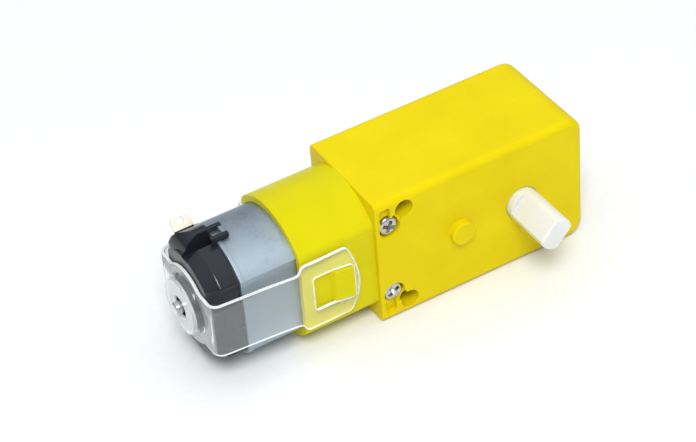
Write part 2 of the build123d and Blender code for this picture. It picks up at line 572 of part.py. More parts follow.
with BuildPart() as brush_upper:
    with BuildSketch(Plane.XY.offset(COMM_R + 0.03)):
        with Locations(((BRUSH_X0 + BRUSH_X1) / 2, 0)):
            Rectangle(BRUSH_X1 - BRUSH_X0, 2 * BRUSH_HALF_Y)
    extrude(amount=LEAF_Z - COMM_R - 0.03)
brush_upper.part.label = "brush_upper"
export_step(brush_upper.part, "parts/brush_upper.step")

with BuildPart() as brush_lower:
    mirror(brush_upper.part, about=Plane.XY)
brush_lower.part.label = "brush_lower"
export_step(brush_lower.part, "parts/brush_lower.step")

# ---------------------------------------------------------------- motor, turning pieces
with BuildPart() as rotor_shaft:
    with BuildSketch(facing_x(MOTOR_SHAFT_X0)):
        Circle(MOTOR_SHAFT_R)
    extrude(amount=MOTOR_SHAFT_X1 - MOTOR_SHAFT_X0)
    chamfer(edges().filter_by(GeomType.CIRCLE), 0.15)
rotor_shaft.part.label = "rotor_shaft"
export_step(rotor_shaft.part, "parts/rotor_shaft.step")

with BuildPart() as rotor_core:
    with BuildSketch(facing_x(CORE_X0)):
        Circle(CORE_R)
        Circle(SHOE_R, mode=Mode.SUBTRACT)
        with PolarLocations(0, 3, 60):
            with Locations((CORE_R, 0)):
                Rectangle(3, 1.5, mode=Mode.SUBTRACT)
        with PolarLocations(0, 3):
            Rectangle(SHOE_R + 0.3, ARM_W, align=(Align.MIN, Align.CENTER))
        Circle(2.4)
        Circle(MOTOR_SHAFT_R, mode=Mode.SUBTRACT)
    extrude(amount=CORE_X1 - CORE_X0)
rotor_core.part.label = "rotor_core"
export_step(rotor_core.part, "parts/rotor_core.step")

with BuildPart() as rotor_windings:
    with BuildSketch(facing_x(CORE_X0 - WINDING_OVERHANG)):
        with PolarLocations(0, 3):
            with Locations(((WINDING_R_IN + WINDING_R_OUT) / 2, 0)):
                Rectangle(WINDING_R_OUT - WINDING_R_IN, 2 * WINDING_HALF)
    extrude(amount=CORE_X1 - CORE_X0 + 2 * WINDING_OVERHANG)
    with BuildSketch(facing_x(CORE_X0)):
        with PolarLocations(0, 3):
            Rectangle(SHOE_R, ARM_W, align=(Align.MIN, Align.CENTER))
    extrude(amount=CORE_X1 - CORE_X0, mode=Mode.SUBTRACT)
rotor_windings.part.label = "rotor_windings"
export_step(rotor_windings.part, "parts/rotor_windings.step")

with BuildPart() as commutator_hub:
    with BuildSketch(facing_x(COMM_X0 - 0.3)):
        Circle(COMM_HUB_R)
        Circle(MOTOR_SHAFT_R, mode=Mode.SUBTRACT)
    extrude(amount=COMM_X1 - COMM_X0 + 1.4)
commutator_hub.part.label = "commutator_hub"
export_step(commutator_hub.part, "parts/commutator_hub.step")

with BuildPart() as commutator_segments:
    with BuildSketch(facing_x(COMM_X0)):
        Circle(COMM_R)
        Circle(COMM_HUB_R, mode=Mode.SUBTRACT)
        with PolarLocations(0, 3, 60):
            Rectangle(4, 0.5, align=(Align.MIN, Align.CENTER), mode=Mode.SUBTRACT)
    extrude(amount=COMM_X1 - COMM_X0)
commutator_segments.part.label = "commutator_segments"
export_step(commutator_segments.part, "parts/commutator_segments.step")

with BuildPart() as rotor_spacers:
    with BuildSketch(facing_x(CORE_X1)):
        Circle(1.6)
        Circle(MOTOR_SHAFT_R, mode=Mode.SUBTRACT)
    extrude(amount=CAN_FRONT_X - 1.2 - CORE_X1)
    with BuildSketch(facing_x(BELL_FLOOR_X + 0.2)):
        Circle(1.6)
        Circle(MOTOR_SHAFT_R, mode=Mode.SUBTRACT)
    extrude(amount=COMM_X0 - 0.3 - BELL_FLOOR_X - 0.2)
rotor_spacers.part.label = "rotor_spacers"
export_step(rotor_spacers.part, "parts/rotor_spacers.step")

motor_teeth = gear_face(MOTOR_TEETH, SHIFT, 180 / MOTOR_TEETH)

with BuildPart() as motor_pinion:
    with BuildSketch(facing_x(-20.4)):
        add(motor_teeth)
        Circle(MOTOR_SHAFT_R, mode=Mode.SUBTRACT)
    extrude(amount=2.5)
motor_pinion.part.label = "motor_pinion"
export_step(motor_pinion.part, "parts/motor_pinion.step")

# ---------------------------------------------------------------- gear train
with BuildPart() as gear_pin:
    with BuildSketch(facing_y(PIN_REAR_Y, PIN_X)):
        Circle(PIN_R)
    extrude(amount=PIN_REAR_Y - PIN_FRONT_Y)
    chamfer(edges().filter_by(GeomType.CIRCLE), 0.15)
gear_pin.part.label = "gear_pin"
export_step(gear_pin.part, "parts/gear_pin.step")

CROWN_MID_R = MODULE * CROWN_TEETH / 2
CROWN_PITCH_Y = MODULE * (MOTOR_TEETH / 2 + SHIFT)


def crown_tooth_face(radius):
    """One crown tooth's section at this distance from the crown's axis."""
    half_mid = (pi * MODULE / 2 - BACKLASH) / 2
    half_tip = half_mid - (CROWN_PITCH_Y - CROWN_TIP_Y) * tan(PRESSURE)
    half_root = half_mid + (CROWN_ROOT_Y + 0.1 - CROWN_PITCH_Y) * tan(PRESSURE)
    half_tip *= radius / CROWN_MID_R
    half_root *= radius / CROWN_MID_R
    with BuildSketch(facing_x(PIN_X - radius)) as section:
        with BuildLine():
            Polyline(
                (CROWN_TIP_Y, -half_tip),
                (CROWN_ROOT_Y + 0.1, -half_root),
                (CROWN_ROOT_Y + 0.1, half_root),
                (CROWN_TIP_Y, half_tip),
                close=True,
            )
        make_face()
    return section.sketch


crown_sections = [crown_tooth_face(CROWN_R_OUT), crown_tooth_face(CROWN_R_IN)]

with BuildPart() as crown_tooth:
    loft(crown_sections)

pin_axis = Axis((PIN_X, 0, 0), (0, 1, 0))
crown_teeth = [crown_tooth.part.rotate(pin_axis, 360 * k / CROWN_TEETH) for k in range(CROWN_TEETH)]

first_teeth = gear_face(FIRST_TEETH, SHIFT, 0)
second_teeth = gear_face(SECOND_TEETH, -SHIFT, 180 + 180 / SECOND_TEETH)
third_teeth_out = gear_face(THIRD_TEETH, SHIFT, 180)
fourth_teeth_pin = gear_face(FOURTH_TEETH, -SHIFT, 180 / FOURTH_TEETH)
third_teeth_pin = gear_face(THIRD_TEETH, SHIFT, 0)
fourth_teeth_out = gear_face(FOURTH_TEETH, -SHIFT, 180 + 180 / FOURTH_TEETH)

with BuildPart() as crown_gear:
    with BuildSketch(facing_y(CROWN_BACK_Y, PIN_X)):
        Circle(CROWN_R_OUT)
    extrude(amount=CROWN_BACK_Y - CROWN_ROOT_Y)
    add(crown_teeth)
    with BuildSketch(facing_y(CROWN_BACK_Y, PIN_X)):
        Circle(GEAR_HUB_R - 0.2)
    extrude(amount=CROWN_BACK_Y + 2.8)
    with BuildSketch(facing_y(7.4, PIN_X)):
        add(first_teeth)
    extrude(amount=7.4 - CROWN_BACK_Y)
    with BuildSketch(facing_y(8, PIN_X)):
        Circle(PIN_R + RUN)
    extrude(amount=12, mode=Mode.SUBTRACT)
crown_gear.part.label = "crown_gear"
export_step(crown_gear.part, "parts/crown_gear.step")

with BuildPart() as second_gear:
    with BuildSketch(facing_y(7.2)):
        add(second_teeth)
    extrude(amount=2.6)
    with BuildSketch(facing_y(4.6)):
        Circle(GEAR_HUB_R)
    extrude(amount=7.4)
    with BuildSketch(facing_y(-2.75)):
        add(third_teeth_out)
    extrude(amount=2.35)
    with BuildSketch(facing_y(8)):
        Circle(SPINDLE_R + RUN)
    extrude(amount=16, mode=Mode.SUBTRACT)
second_gear.part.label = "second_gear"
export_step(second_gear.part, "parts/second_gear.step")

with BuildPart() as third_gear:
    with BuildSketch(facing_y(-2.9, PIN_X)):
        add(fourth_teeth_pin)
    extrude(amount=2.3)
    with BuildSketch(facing_y(-5.2, PIN_X)):
        add(third_teeth_pin)
    extrude(amount=2.5)
    with BuildSketch(facing_y(0, PIN_X)):
        Circle(PIN_R + RUN)
    extrude(amount=10, mode=Mode.SUBTRACT)
third_gear.part.label = "third_gear"
export_step(third_gear.part, "parts/third_gear.step")

OUT_TIP_Y = BOX_HALF_Y + OUT_REACH
OUT_FLAT_Y = BOX_HALF_Y + OUT_ROOT
SPINDLE_END_Y = 12.0

with BuildPart() as output_gear:
    with BuildSketch(facing_y(-OUT_FLAT_Y)):
        double_d()
    extrude(amount=OUT_TIP_Y - OUT_FLAT_Y)
    chamfer(faces().sort_by(Axis.Y)[0].edges(), 0.25)
    with BuildSketch(facing_y(-7.7)):
        Circle(OUT_R)
    extrude(amount=OUT_FLAT_Y - 7.7)
    with BuildSketch(facing_y(-5.4)):
        add(fourth_teeth_out)
    extrude(amount=2.3)
    with BuildSketch(facing_y(-5.2)):
        Circle(GEAR_HUB_R)
    extrude(amount=0.3)
    with BuildSketch(facing_y(SPINDLE_END_Y)):
        Circle(SPINDLE_R)
    extrude(amount=SPINDLE_END_Y + 5.5)
output_gear.part.label = "output_gear"
export_step(output_gear.part, "parts/output_gear.step")

with BuildPart() as rear_output_shaft:
    with BuildSketch(facing_y(OUT_TIP_Y)):
        double_d()
    extrude(amount=OUT_TIP_Y - OUT_FLAT_Y)
    chamfer(faces().sort_by(Axis.Y)[-1].edges(), 0.25)
    with BuildSketch(facing_y(OUT_FLAT_Y)):
        Circle(OUT_R)
    extrude(amount=OUT_FLAT_Y - 7.4)
    with BuildSketch(facing_y(FLOOR_Y - 0.1)):
        Circle(3.6)
    extrude(amount=0.45)
    with BuildSketch(facing_y(SPINDLE_END_Y)):
        Circle(SPINDLE_R)
    extrude(amount=6, mode=Mode.SUBTRACT)
rear_output_shaft.part.label = "rear_output_shaft"
export_step(rear_output_shaft.part, "parts/rear_output_shaft.step")
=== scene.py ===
"""Looks of the right-angle geared dc motor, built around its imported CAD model.

Lengths are metres in the row frame: the output shaft's axis is Y through the origin, +X runs
towards the output end, the motor is at -X, and +Z is up.
"""
import math

import bmesh
import bpy
from mathutils import Matrix, Vector


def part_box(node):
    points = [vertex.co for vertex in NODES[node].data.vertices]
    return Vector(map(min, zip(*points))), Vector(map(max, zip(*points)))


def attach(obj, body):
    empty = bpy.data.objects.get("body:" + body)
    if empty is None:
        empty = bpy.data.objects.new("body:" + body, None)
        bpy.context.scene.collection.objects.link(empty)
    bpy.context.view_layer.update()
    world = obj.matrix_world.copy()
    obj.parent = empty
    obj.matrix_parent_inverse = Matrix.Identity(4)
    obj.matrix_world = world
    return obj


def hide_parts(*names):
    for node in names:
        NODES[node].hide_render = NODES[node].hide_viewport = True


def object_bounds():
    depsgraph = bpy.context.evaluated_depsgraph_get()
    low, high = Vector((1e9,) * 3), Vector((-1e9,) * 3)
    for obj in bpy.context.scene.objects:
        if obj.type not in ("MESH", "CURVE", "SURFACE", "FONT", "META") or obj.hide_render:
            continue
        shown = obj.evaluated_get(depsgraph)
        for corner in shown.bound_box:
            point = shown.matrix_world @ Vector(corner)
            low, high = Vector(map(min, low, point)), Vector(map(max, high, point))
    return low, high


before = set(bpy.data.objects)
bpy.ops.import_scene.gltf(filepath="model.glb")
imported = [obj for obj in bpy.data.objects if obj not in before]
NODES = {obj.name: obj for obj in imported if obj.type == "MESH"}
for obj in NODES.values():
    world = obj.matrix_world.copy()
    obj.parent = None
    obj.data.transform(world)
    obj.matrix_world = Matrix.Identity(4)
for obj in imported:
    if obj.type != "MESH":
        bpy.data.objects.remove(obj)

CAD_LOW, CAD_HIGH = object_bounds()
MM = 0.001
# the wave texture's bands are pi / (this * scale) apart
WAVE_PER_SCALE = 10

# ------------------------------------------------------------------ materials


class Tree:
    """A material's node tree, with one Principled shader and object coordinates."""

    def __init__(self, name, stretch=(1, 1, 1)):
        self.material = bpy.data.materials.new(name)
        self.material.use_nodes = True
        self.tree = self.material.node_tree
        self.shader = self.tree.nodes["Principled BSDF"]
        where = self.add("ShaderNodeTexCoord")
        self.plain = where.outputs["Object"]
        mapping = self.add("ShaderNodeMapping")
        mapping.inputs["Scale"].default_value = stretch
        self.link(self.plain, mapping.inputs["Vector"])
        self.where = mapping.outputs["Vector"]

    def add(self, kind):
        return self.tree.nodes.new(kind)

    def link(self, a, b):
        self.tree.links.new(a, b)

    def noise(self, size, detail=2.0, plain=False, rough=0.5):
        """Noise whose blobs are about this many metres across."""
        node = self.add("ShaderNodeTexNoise")
        node.inputs["Scale"].default_value = 1 / size
        node.inputs["Detail"].default_value = detail
        node.inputs["Roughness"].default_value = rough
        self.link(self.plain if plain else self.where, node.inputs["Vector"])
        return node.outputs["Fac"]

    def bands(self, pitch, axis, distortion):
        """Sine bands this many metres apart."""
        node = self.add("ShaderNodeTexWave")
        node.wave_type = "BANDS"
        node.bands_direction = axis
        node.inputs["Scale"].default_value = math.pi / (WAVE_PER_SCALE * pitch)
        node.inputs["Distortion"].default_value = distortion
        self.link(self.where, node.inputs["Vector"])
        return node.outputs["Fac"]

    def spangle(self, size):
        """Crystal-like cells this many metres across, each with its own value."""
        node = self.add("ShaderNodeTexVoronoi")
        node.inputs["Scale"].default_value = 1 / size
        self.link(self.plain, node.inputs["Vector"])
        split = self.add("ShaderNodeSeparateColor")
        self.link(node.outputs["Color"], split.inputs["Color"])
        return split.outputs["Red"]

    def spread(self, value, low, high, start=0.3, end=0.7):
        """value from start to end becomes low to high."""
        node = self.add("ShaderNodeMapRange")
        for k, v in zip((1, 2, 3, 4), (start, end, low, high)):
            node.inputs[k].default_value = v
        self.link(value, node.inputs[0])
        return node.outputs[0]

    def sum(self, a, b, share):
        """a plus share times b."""
        node = self.add("ShaderNodeMath")
        node.operation = "MULTIPLY_ADD"
        node.inputs[1].default_value = share
        self.link(b, node.inputs[0])
        self.link(a, node.inputs[2])
        return node.outputs[0]

    def colour(self, value, stops):
        """The base colour goes through these (position, rgb) stops as value rises."""
        node = self.add("ShaderNodeValToRGB")
        ramp = node.color_ramp
        while len(ramp.elements) < len(stops):
            ramp.elements.new(0.5)
        for element, (place, rgb) in zip(ramp.elements, stops):
            element.position = place
            element.color = (*rgb, 1)
        self.link(value, node.inputs["Fac"])
        self.link(node.outputs["Color"], self.shader.inputs["Base Color"])

    def roughness(self, value):
        self.link(value, self.shader.inputs["Roughness"])

    def bump(self, value, depth):
        """Relief this many metres deep."""
        node = self.add("ShaderNodeBump")
        node.inputs["Distance"].default_value = depth
        node.inputs["Strength"].default_value = 1.0
        self.link(value, node.inputs["Height"])
        self.link(node.outputs["Normal"], self.shader.inputs["Normal"])

    def set(self, **values):
        for name, value in values.items():
            self.shader.inputs[name.replace("_", " ")].default_value = value
        return self.material


def moulded(name, dark, light, rough, grain=0.3 * MM, relief=4e-6, scuffs=0.06, **values):
    """A moulded plastic: slow colour drift, fine satin grain and faint rubbed streaks."""
    t = Tree(name)
    drift = t.noise(9 * MM, 3)
    fine = t.noise(grain, 4)
    t.colour(t.sum(drift, fine, 0.25), [(0.35, dark), (0.8, light)])
    streaks = t.noise(2.2 * MM, 6, rough=0.7)
    t.roughness(t.spread(streaks, rough - scuffs, rough + scuffs))
    t.bump(t.sum(fine, t.noise(4 * MM, 1), 1.5), relief)
    return t.set(**values)


def plated(name, dark, light, rough, grain=0.12 * MM, relief=1.5e-6, cells=0.0, stretch=(1, 1, 1)):
    """A plated or bright metal with fine lay along one direction, and spangle where cells is set."""
    t = Tree(name, stretch)
    lay = t.noise(grain, 3)
    tone = t.noise(3 * MM, 3, plain=True)
    if cells:
        tone = t.sum(tone, t.spangle(cells), 0.35)
    t.colour(t.sum(tone, lay, 0.3), [(0.3, dark), (1.0, light)])
    t.roughness(t.spread(t.sum(tone, lay, 0.5), rough * 0.75, rough * 1.35, 0.3, 1.1))
    t.bump(lay, relief)
    return t.set(Metallic=1.0)


def turned(name, dark, light, rough, pitch, relief, axis="X", distortion=0.4):
    """A metal with regular lines: turning marks, stacked sheets or wire turns."""
    t = Tree(name)
    lines = t.bands(pitch, axis, distortion)
    tone = t.noise(1.5 * MM, 4)
    t.colour(t.sum(lines, tone, 0.8), [(0.2, dark), (1.2, light)])
    t.roughness(t.spread(tone, rough * 0.8, rough * 1.3))
    t.bump(t.sum(lines, t.noise(0.2 * MM, 3), 0.3), relief)
    return t.set(Metallic=1.0)


def clear_sheet(name, clear):
    """Plastic sheet: glass that lets lamps through, with faint ripple, haze and rubs.

    clear is the share that is glass, and the rest is milky.
    """
    t = Tree(name)
    haze = t.noise(2.5 * MM, 5, rough=0.65)
    t.colour(haze, [(0.3, (0.93, 0.955, 0.96)), (0.8, (0.98, 0.985, 0.985))])
    t.roughness(t.spread(haze, 0.02, 0.14, 0.35, 0.8))
    t.bump(t.sum(t.noise(5 * MM, 2), t.noise(0.4 * MM, 2), 0.05), 3e-5)
    t.set(IOR=1.46)
    t.shader.inputs["Transmission Weight"].default_value = clear
    through = t.add("ShaderNodeBsdfTransparent")
    through.inputs["Color"].default_value = (0.93, 0.95, 0.95, 1)
    path = t.add("ShaderNodeLightPath")
    mix = t.add("ShaderNodeMixShader")
    out = t.tree.nodes["Material Output"]
    t.link(path.outputs["Is Shadow Ray"], mix.inputs[0])
    t.link(t.shader.outputs[0], mix.inputs[1])
    t.link(through.outputs[0], mix.inputs[2])
    t.link(mix.outputs[0], out.inputs["Surface"])
    return t.material


YELLOW_FINISH = {
    "Specular_IOR_Level": 0.13, "Specular_Tint": (1.0, 0.88, 0.2, 1), "Subsurface_Weight": 0.1,
    "Subsurface_Scale": 0.3 * MM, "Subsurface_Radius": (1.0, 0.75, 0.1),
}
LOOKS = {
    "case_plastic": moulded(
        "case_plastic", (0.70, 0.55, 0.003), (0.765, 0.61, 0.005), 0.42, **YELLOW_FINISH
    ),
    "screw_steel": plated("screw_steel", (0.36, 0.36, 0.355), (0.66, 0.66, 0.64), 0.22),
    "ground_steel": turned(
        "ground_steel", (0.40, 0.40, 0.40), (0.72, 0.71, 0.69), 0.2, 0.16 * MM, 2e-6
    ),
    "can_steel": plated(
        "can_steel", (0.30, 0.36, 0.405), (0.38, 0.445, 0.50), 0.43, cells=0.35 * MM,
        stretch=(0.25, 1, 1), relief=8e-7,
    ),
    "bearing_bronze": plated("bearing_bronze", (0.22, 0.15, 0.07), (0.42, 0.30, 0.16), 0.38),
    "ferrite": moulded("ferrite", (0.030, 0.030, 0.033), (0.07, 0.07, 0.075), 0.7),
    "bell_plastic": moulded(
        "bell_plastic", (0.008, 0.009, 0.012), (0.017, 0.019, 0.026), 0.17, grain=0.8 * MM,
        relief=8e-7, scuffs=0.05, Specular_IOR_Level=0.35,
    ),
    "tinned_contact": plated("tinned_contact", (0.56, 0.50, 0.40), (0.84, 0.80, 0.70), 0.42,
                             grain=0.35 * MM, relief=4e-6),
    "carbon": moulded("carbon", (0.018, 0.018, 0.018), (0.05, 0.05, 0.05), 0.5),
    "lamination_steel": turned(
        "lamination_steel", (0.22, 0.22, 0.23), (0.45, 0.45, 0.46), 0.4, 0.5 * MM, 3e-5
    ),
    "winding_copper": turned(
        "winding_copper", (0.42, 0.12, 0.035), (0.78, 0.32, 0.11), 0.25, 0.22 * MM, 8e-5,
        axis="Z", distortion=1.2,
    ),
    "segment_copper": turned(
        "segment_copper", (0.60, 0.27, 0.16), (0.86, 0.50, 0.34), 0.25, 0.1 * MM, 3e-6
    ),
    "gear_nylon": moulded(
        "gear_nylon", (0.70, 0.68, 0.60), (0.80, 0.79, 0.73), 0.45, Subsurface_Weight=0.3,
        Subsurface_Scale=0.6 * MM, Subsurface_Radius=(1.0, 0.9, 0.7),
    ),
    "shaft_nylon": moulded(
        "shaft_nylon", (0.72, 0.72, 0.69), (0.79, 0.79, 0.76), 0.42, Subsurface_Weight=0.35,
        Subsurface_Scale=0.8 * MM, Subsurface_Radius=(1.0, 0.95, 0.9),
    ),
    "strap_plastic": clear_sheet("strap_plastic", 0.96),
}
# Painted reflection: a milkier copy of the same clear sheet for the strap's rear, standing in for
# the white surroundings that the sheet reflects there at a grazing angle.
STRAP_REAR_PAINTED_SHEEN = clear_sheet("strap_rear_painted_sheen", 0.84)
# The raised disc is the same clear sheet, made milkier still: painted reflection, so that its face
# reads light.
STRAP_DISC_PAINTED_SHEEN = clear_sheet("strap_disc_painted_sheen", 0.55)
# The sheet's cut edges in white: partly the frosted cut, partly a painted highlight standing in for
# the bright lines along the strap's edges.
STRAP_EDGE_FROST_HIGHLIGHT = moulded(
    "strap_edge_frost_highlight", (0.90, 0.92, 0.92), (0.98, 0.99, 0.99), 0.3, Transmission_Weight=0.3, IOR=1.46
)

# Painted shade: the motor collar is the same yellow plastic as the case, made darker to stand in for
# the shade that falls on it inside the strap's window.
SHADED_COLLAR_LOOK = moulded(
    "collar_plastic_painted_shade", (0.615, 0.545, 0.004), (0.67, 0.595, 0.006), 0.38, **YELLOW_FINISH
)

for name, node in NODES.items():
    for slot in node.material_slots:
        look = LOOKS[slot.material.name.split(".")[0]]
        # the motor collar takes the darker copy of the yellow, which is painted shade
        slot.material = SHADED_COLLAR_LOOK if name == "motor_collar" else look


# ------------------------------------------------------------------ mesh helpers
CORNER_STEPS = 5
RIM_STEPS = 3


def new_object(name, mesh, body, materials, replaced=()):
    """A piece with this mesh, on its body, in its material slot."""
    piece = bpy.data.objects.new(name, mesh)
    bpy.context.scene.collection.objects.link(piece)
    for material in materials:
        mesh.materials.append(material)
    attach(piece, body)
    if replaced:
        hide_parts(*replaced)
    return piece


def shade(mesh, angle):
    """Smooth shading that breaks where faces meet more sharply than this many degrees."""
    mesh.polygons.foreach_set("use_smooth", [True] * len(mesh.polygons))
    mesh.set_sharp_from_angle(angle=math.radians(angle))


def mesh_of(bm, name):
    mesh = bpy.data.meshes.new(name)
    bm.to_mesh(mesh)
    bm.free()
    return mesh


def evaluated(obj):
    """The mesh an object shows after its modifiers, and the object is removed."""
    graph = bpy.context.evaluated_depsgraph_get()
    mesh = bpy.data.meshes.new_from_object(obj.evaluated_get(graph))
    bpy.data.objects.remove(obj)
    return mesh


def rounded(points, radius):
    """A closed outline of 2D points with each corner cut to an arc of this radius."""
    out = []
    count = len(points)
    for k, point in enumerate(points):
        here = Vector(point)
        back = (Vector(points[k - 1]) - here)
        on = (Vector(points[(k + 1) % count]) - here)
        reach = min(radius, 0.45 * back.length, 0.45 * on.length)
        start, end = here + back.normalized() * reach, here + on.normalized() * reach
        for s in range(CORNER_STEPS + 1):
            t = s / CORNER_STEPS
            out.append(start * (1 - t) ** 2 + here * 2 * t * (1 - t) + end * t**2)
    return out


def inset_loop(loop, depth, is_hole):
    """The outline moved this far into the plate."""
    out = []
    count = len(loop)
    area = sum(p.x * q.y - q.x * p.y for p, q in zip(loop, loop[1:] + loop[:1]))
    side = 1 if (area > 0) != is_hole else -1
    for k, here in enumerate(loop):
        before = (here - loop[k - 1]).normalized()
        after = (loop[(k + 1) % count] - here).normalized()
        n1, n2 = Vector((-before.y, before.x)), Vector((-after.y, after.x))
        out.append(here + (n1 + n2) * (side * depth / max(1 + n1.dot(n2), 0.3)))
    return out


def flat_plate(outlines, thickness, bevel, rings=()):
    """A closed plate in XY with rounded rims, from an outer outline and its holes.

    rings are loops round the last hole, from the outermost in, that the faces follow.
    """
    bm = bmesh.new()
    profile = []
    for k in range(RIM_STEPS + 1):
        a = math.radians(90 / RIM_STEPS * k)
        profile.append((bevel * (1 - math.sin(a)), thickness / 2 - bevel * (1 - math.cos(a))))
    profile += [(inset, -z) for inset, z in reversed(profile)]

    def skin(loops):
        for a, b in zip(loops, loops[1:]):
            for k in range(len(a)):
                m = (k + 1) % len(a)
                bm.faces.new((a[k], a[m], b[m], b[k]))

    rims = []
    for place, outline in enumerate(outlines):
        loop = [Vector(p) for p in outline]
        loops = []
        for inset, z in profile:
            loops.append([bm.verts.new((p.x, p.y, z)) for p in inset_loop(loop, inset, place > 0)])
        skin(loops)
        rims.append([loops[0], loops[-1]])
    for side, z in ((0, thickness / 2), (1, -thickness / 2)):
        if rings:
            loops = [[bm.verts.new((p.x, p.y, z)) for p in ring] for ring in rings]
            skin(loops + [rims[-1][side]])
            rims[-1][side] = loops[0]
        edges = []
        for rim in rims:
            ring = rim[side]
            edges += [bm.edges.get((v, ring[(k + 1) % len(ring)])) for k, v in enumerate(ring)]
        bmesh.ops.triangle_fill(
            bm, edges=edges, use_beauty=True, normal=(0, 0, 1 if side == 0 else -1)
        )
    bmesh.ops.recalc_face_normals(bm, faces=bm.faces)
    return bm


def outward(bm):
    """Turns every face of a closed mesh outwards."""
    bmesh.ops.recalc_face_normals(bm, faces=bm.faces)
    if bm.calc_volume(signed=True) < 0:
        bmesh.ops.reverse_faces(bm, faces=bm.faces)


# ------------------------------------------------------------------ retaining strap
strap_low, strap_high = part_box("retaining_strap")
SHEET = 0.5 * MM
# middle line, seen from above: heads beside the collar, arms that close in, and the rear
HEAD_END_X = strap_high.x
HEAD_START_X = HEAD_END_X - 9.55 * MM
ARM_Y = strap_high.y - SHEET / 2
REAR_X = strap_low.x + SHEET / 2
REAR_Y = ARM_Y - 0.85 * MM
CORNER_R, ELBOW_R = 1.35 * MM, 7 * MM
ARC_STEPS = 24
PATH_STEP = 0.1 * MM
# outline, unrolled
HEAD_Z, BAND_Z = 6.2 * MM, 4.8 * MM
HEAD_CORNER, SHOULDER = 0.8 * MM, 0.5 * MM
EYE_R, EYE_HOLE_R = 6.4 * MM, 1.75 * MM
EYE_SIDES = 72
WINDOW_X0, WINDOW_X1, WINDOW_Z = HEAD_END_X - 7.2 * MM, HEAD_END_X - 0.65 * MM, 3 * MM
WINDOW_CORNER = 0.5 * MM
END_STEP, END_POINTS = 0.45 * MM, 12
END_CURVE, END_REACH = 1.35 * MM, 4 * MM
RIM_ROUND = 0.18 * MM
# how far the sheet stands off its middle line: bowed heads, lifted ends and a raised disc
BOW, BOW_SHARE = 0.18 * MM, 1.6
END_LIFT, LIFT_REACH = 0.9 * MM, 5 * MM
DOME, DOME_R, DOME_WIDTH = 1.3 * MM, 5.05 * MM, 0.75 * MM
# radii of the loops that the disc's faces follow, in mm
EYE_RINGS = (5.12, 5.0, 4.88, 4.76, 4.64, 4.52, 4.4, 4.3, 4.0, 3.3, 2.6)
# slices that bend the plate round its path, finer near the rear corners
FINE_SLICE, SLICE = 0.2 * MM, 0.8 * MM
FINE_X, PLAIN_EYE = 2.2 * MM, 5 * MM
# which look each face of the sheet takes; the rear and its raised disc take milkier looks, a painted
# reflection that makes them read lighter
REAR_SHEEN_REACH = 7.6 * MM
DISC_REACH, WALL_REACH = 4.15 * MM, 5.2 * MM
SHEET_SLOT, EDGE_SLOT, REAR_SHEEN_SLOT, DISC_SLOT = range(4)
FLAT = 0.97


def strap_path():
    """Points of the strap's middle line in XY, from the front head round the rear."""
    corners = [(HEAD_END_X, -ARM_Y), (HEAD_START_X, -ARM_Y), (REAR_X, -REAR_Y)]
    corners += [(x, -y) for x, y in reversed(corners)]
    radii = [0, ELBOW_R, CORNER_R, CORNER_R, ELBOW_R, 0]
    line = []
    for k, corner in enumerate(corners):
        here = Vector(corner)
        if radii[k] == 0:
            line.append(here)
            continue
        back = (Vector(corners[k - 1]) - here).normalized()
        on = (Vector(corners[k + 1]) - here).normalized()
        half = back.angle(on) / 2
        reach = radii[k] / math.tan(half)
        middle = here + (back + on).normalized() * (radii[k] / math.sin(half))
        first, last = here + back * reach - middle, here + on * reach - middle
        sweep = first.angle_signed(last)
        for s in range(ARC_STEPS + 1):
            turn = Matrix.Rotation(-sweep * s / ARC_STEPS, 2)
            line.append(middle + turn @ first)
    dense = [line[0]]
    for a, b in zip(line, line[1:]):
        steps = max(1, math.ceil((b - a).length / PATH_STEP))
        dense += [a.lerp(b, (s + 1) / steps) for s in range(steps)]
    return dense


class Path:
    """A dense XY line, read by the distance along it."""

    def __init__(self, points):
        self.points = points
        self.at = [0.0]
        for a, b in zip(points, points[1:]):
            self.at.append(self.at[-1] + (b - a).length)
        self.length = self.at[-1]

    def place(self, u):
        """The point at distance u, and the direction out of the strap there."""
        u = min(max(u, 0.0), self.length)
        low, high = 0, len(self.at) - 1
        while high - low > 1:
            mid = (low + high) // 2
            if self.at[mid] <= u:
                low = mid
            else:
                high = mid
        share = (u - self.at[low]) / (self.at[high] - self.at[low])
        point = self.points[low].lerp(self.points[high], share)
        before = self.points[max(low - 1, 0)]
        after = self.points[min(high + 1, len(self.points) - 1)]
        along = (after - before).normalized()
        return point, Vector((-along.y, along.x))


path = Path(strap_path())
TOTAL = path.length
HEAD_U = HEAD_END_X - HEAD_START_X


def smooth(share):
    """share, eased at both ends of 0 to 1."""
    share = min(max(share, 0.0), 1.0)
    return share * share * (3 - 2 * share)


def bulged(point):
    """An unrolled point, moved so that the strap's ends are convex."""
    u, z = point
    from_end = min(u, TOTAL - u)
    shift = END_CURVE * (z / HEAD_Z) ** 2 * max(0.0, 1 - from_end / END_REACH)
    return Vector((u + shift if u < TOTAL / 2 else u - shift, z))


def eye_circle(radius):
    """A circle round the eye's middle, on the unrolled strap."""
    turns = [2 * math.pi * k / EYE_SIDES for k in range(EYE_SIDES)]
    return [Vector((TOTAL / 2 + radius * math.cos(a), radius * math.sin(a))) for a in turns]


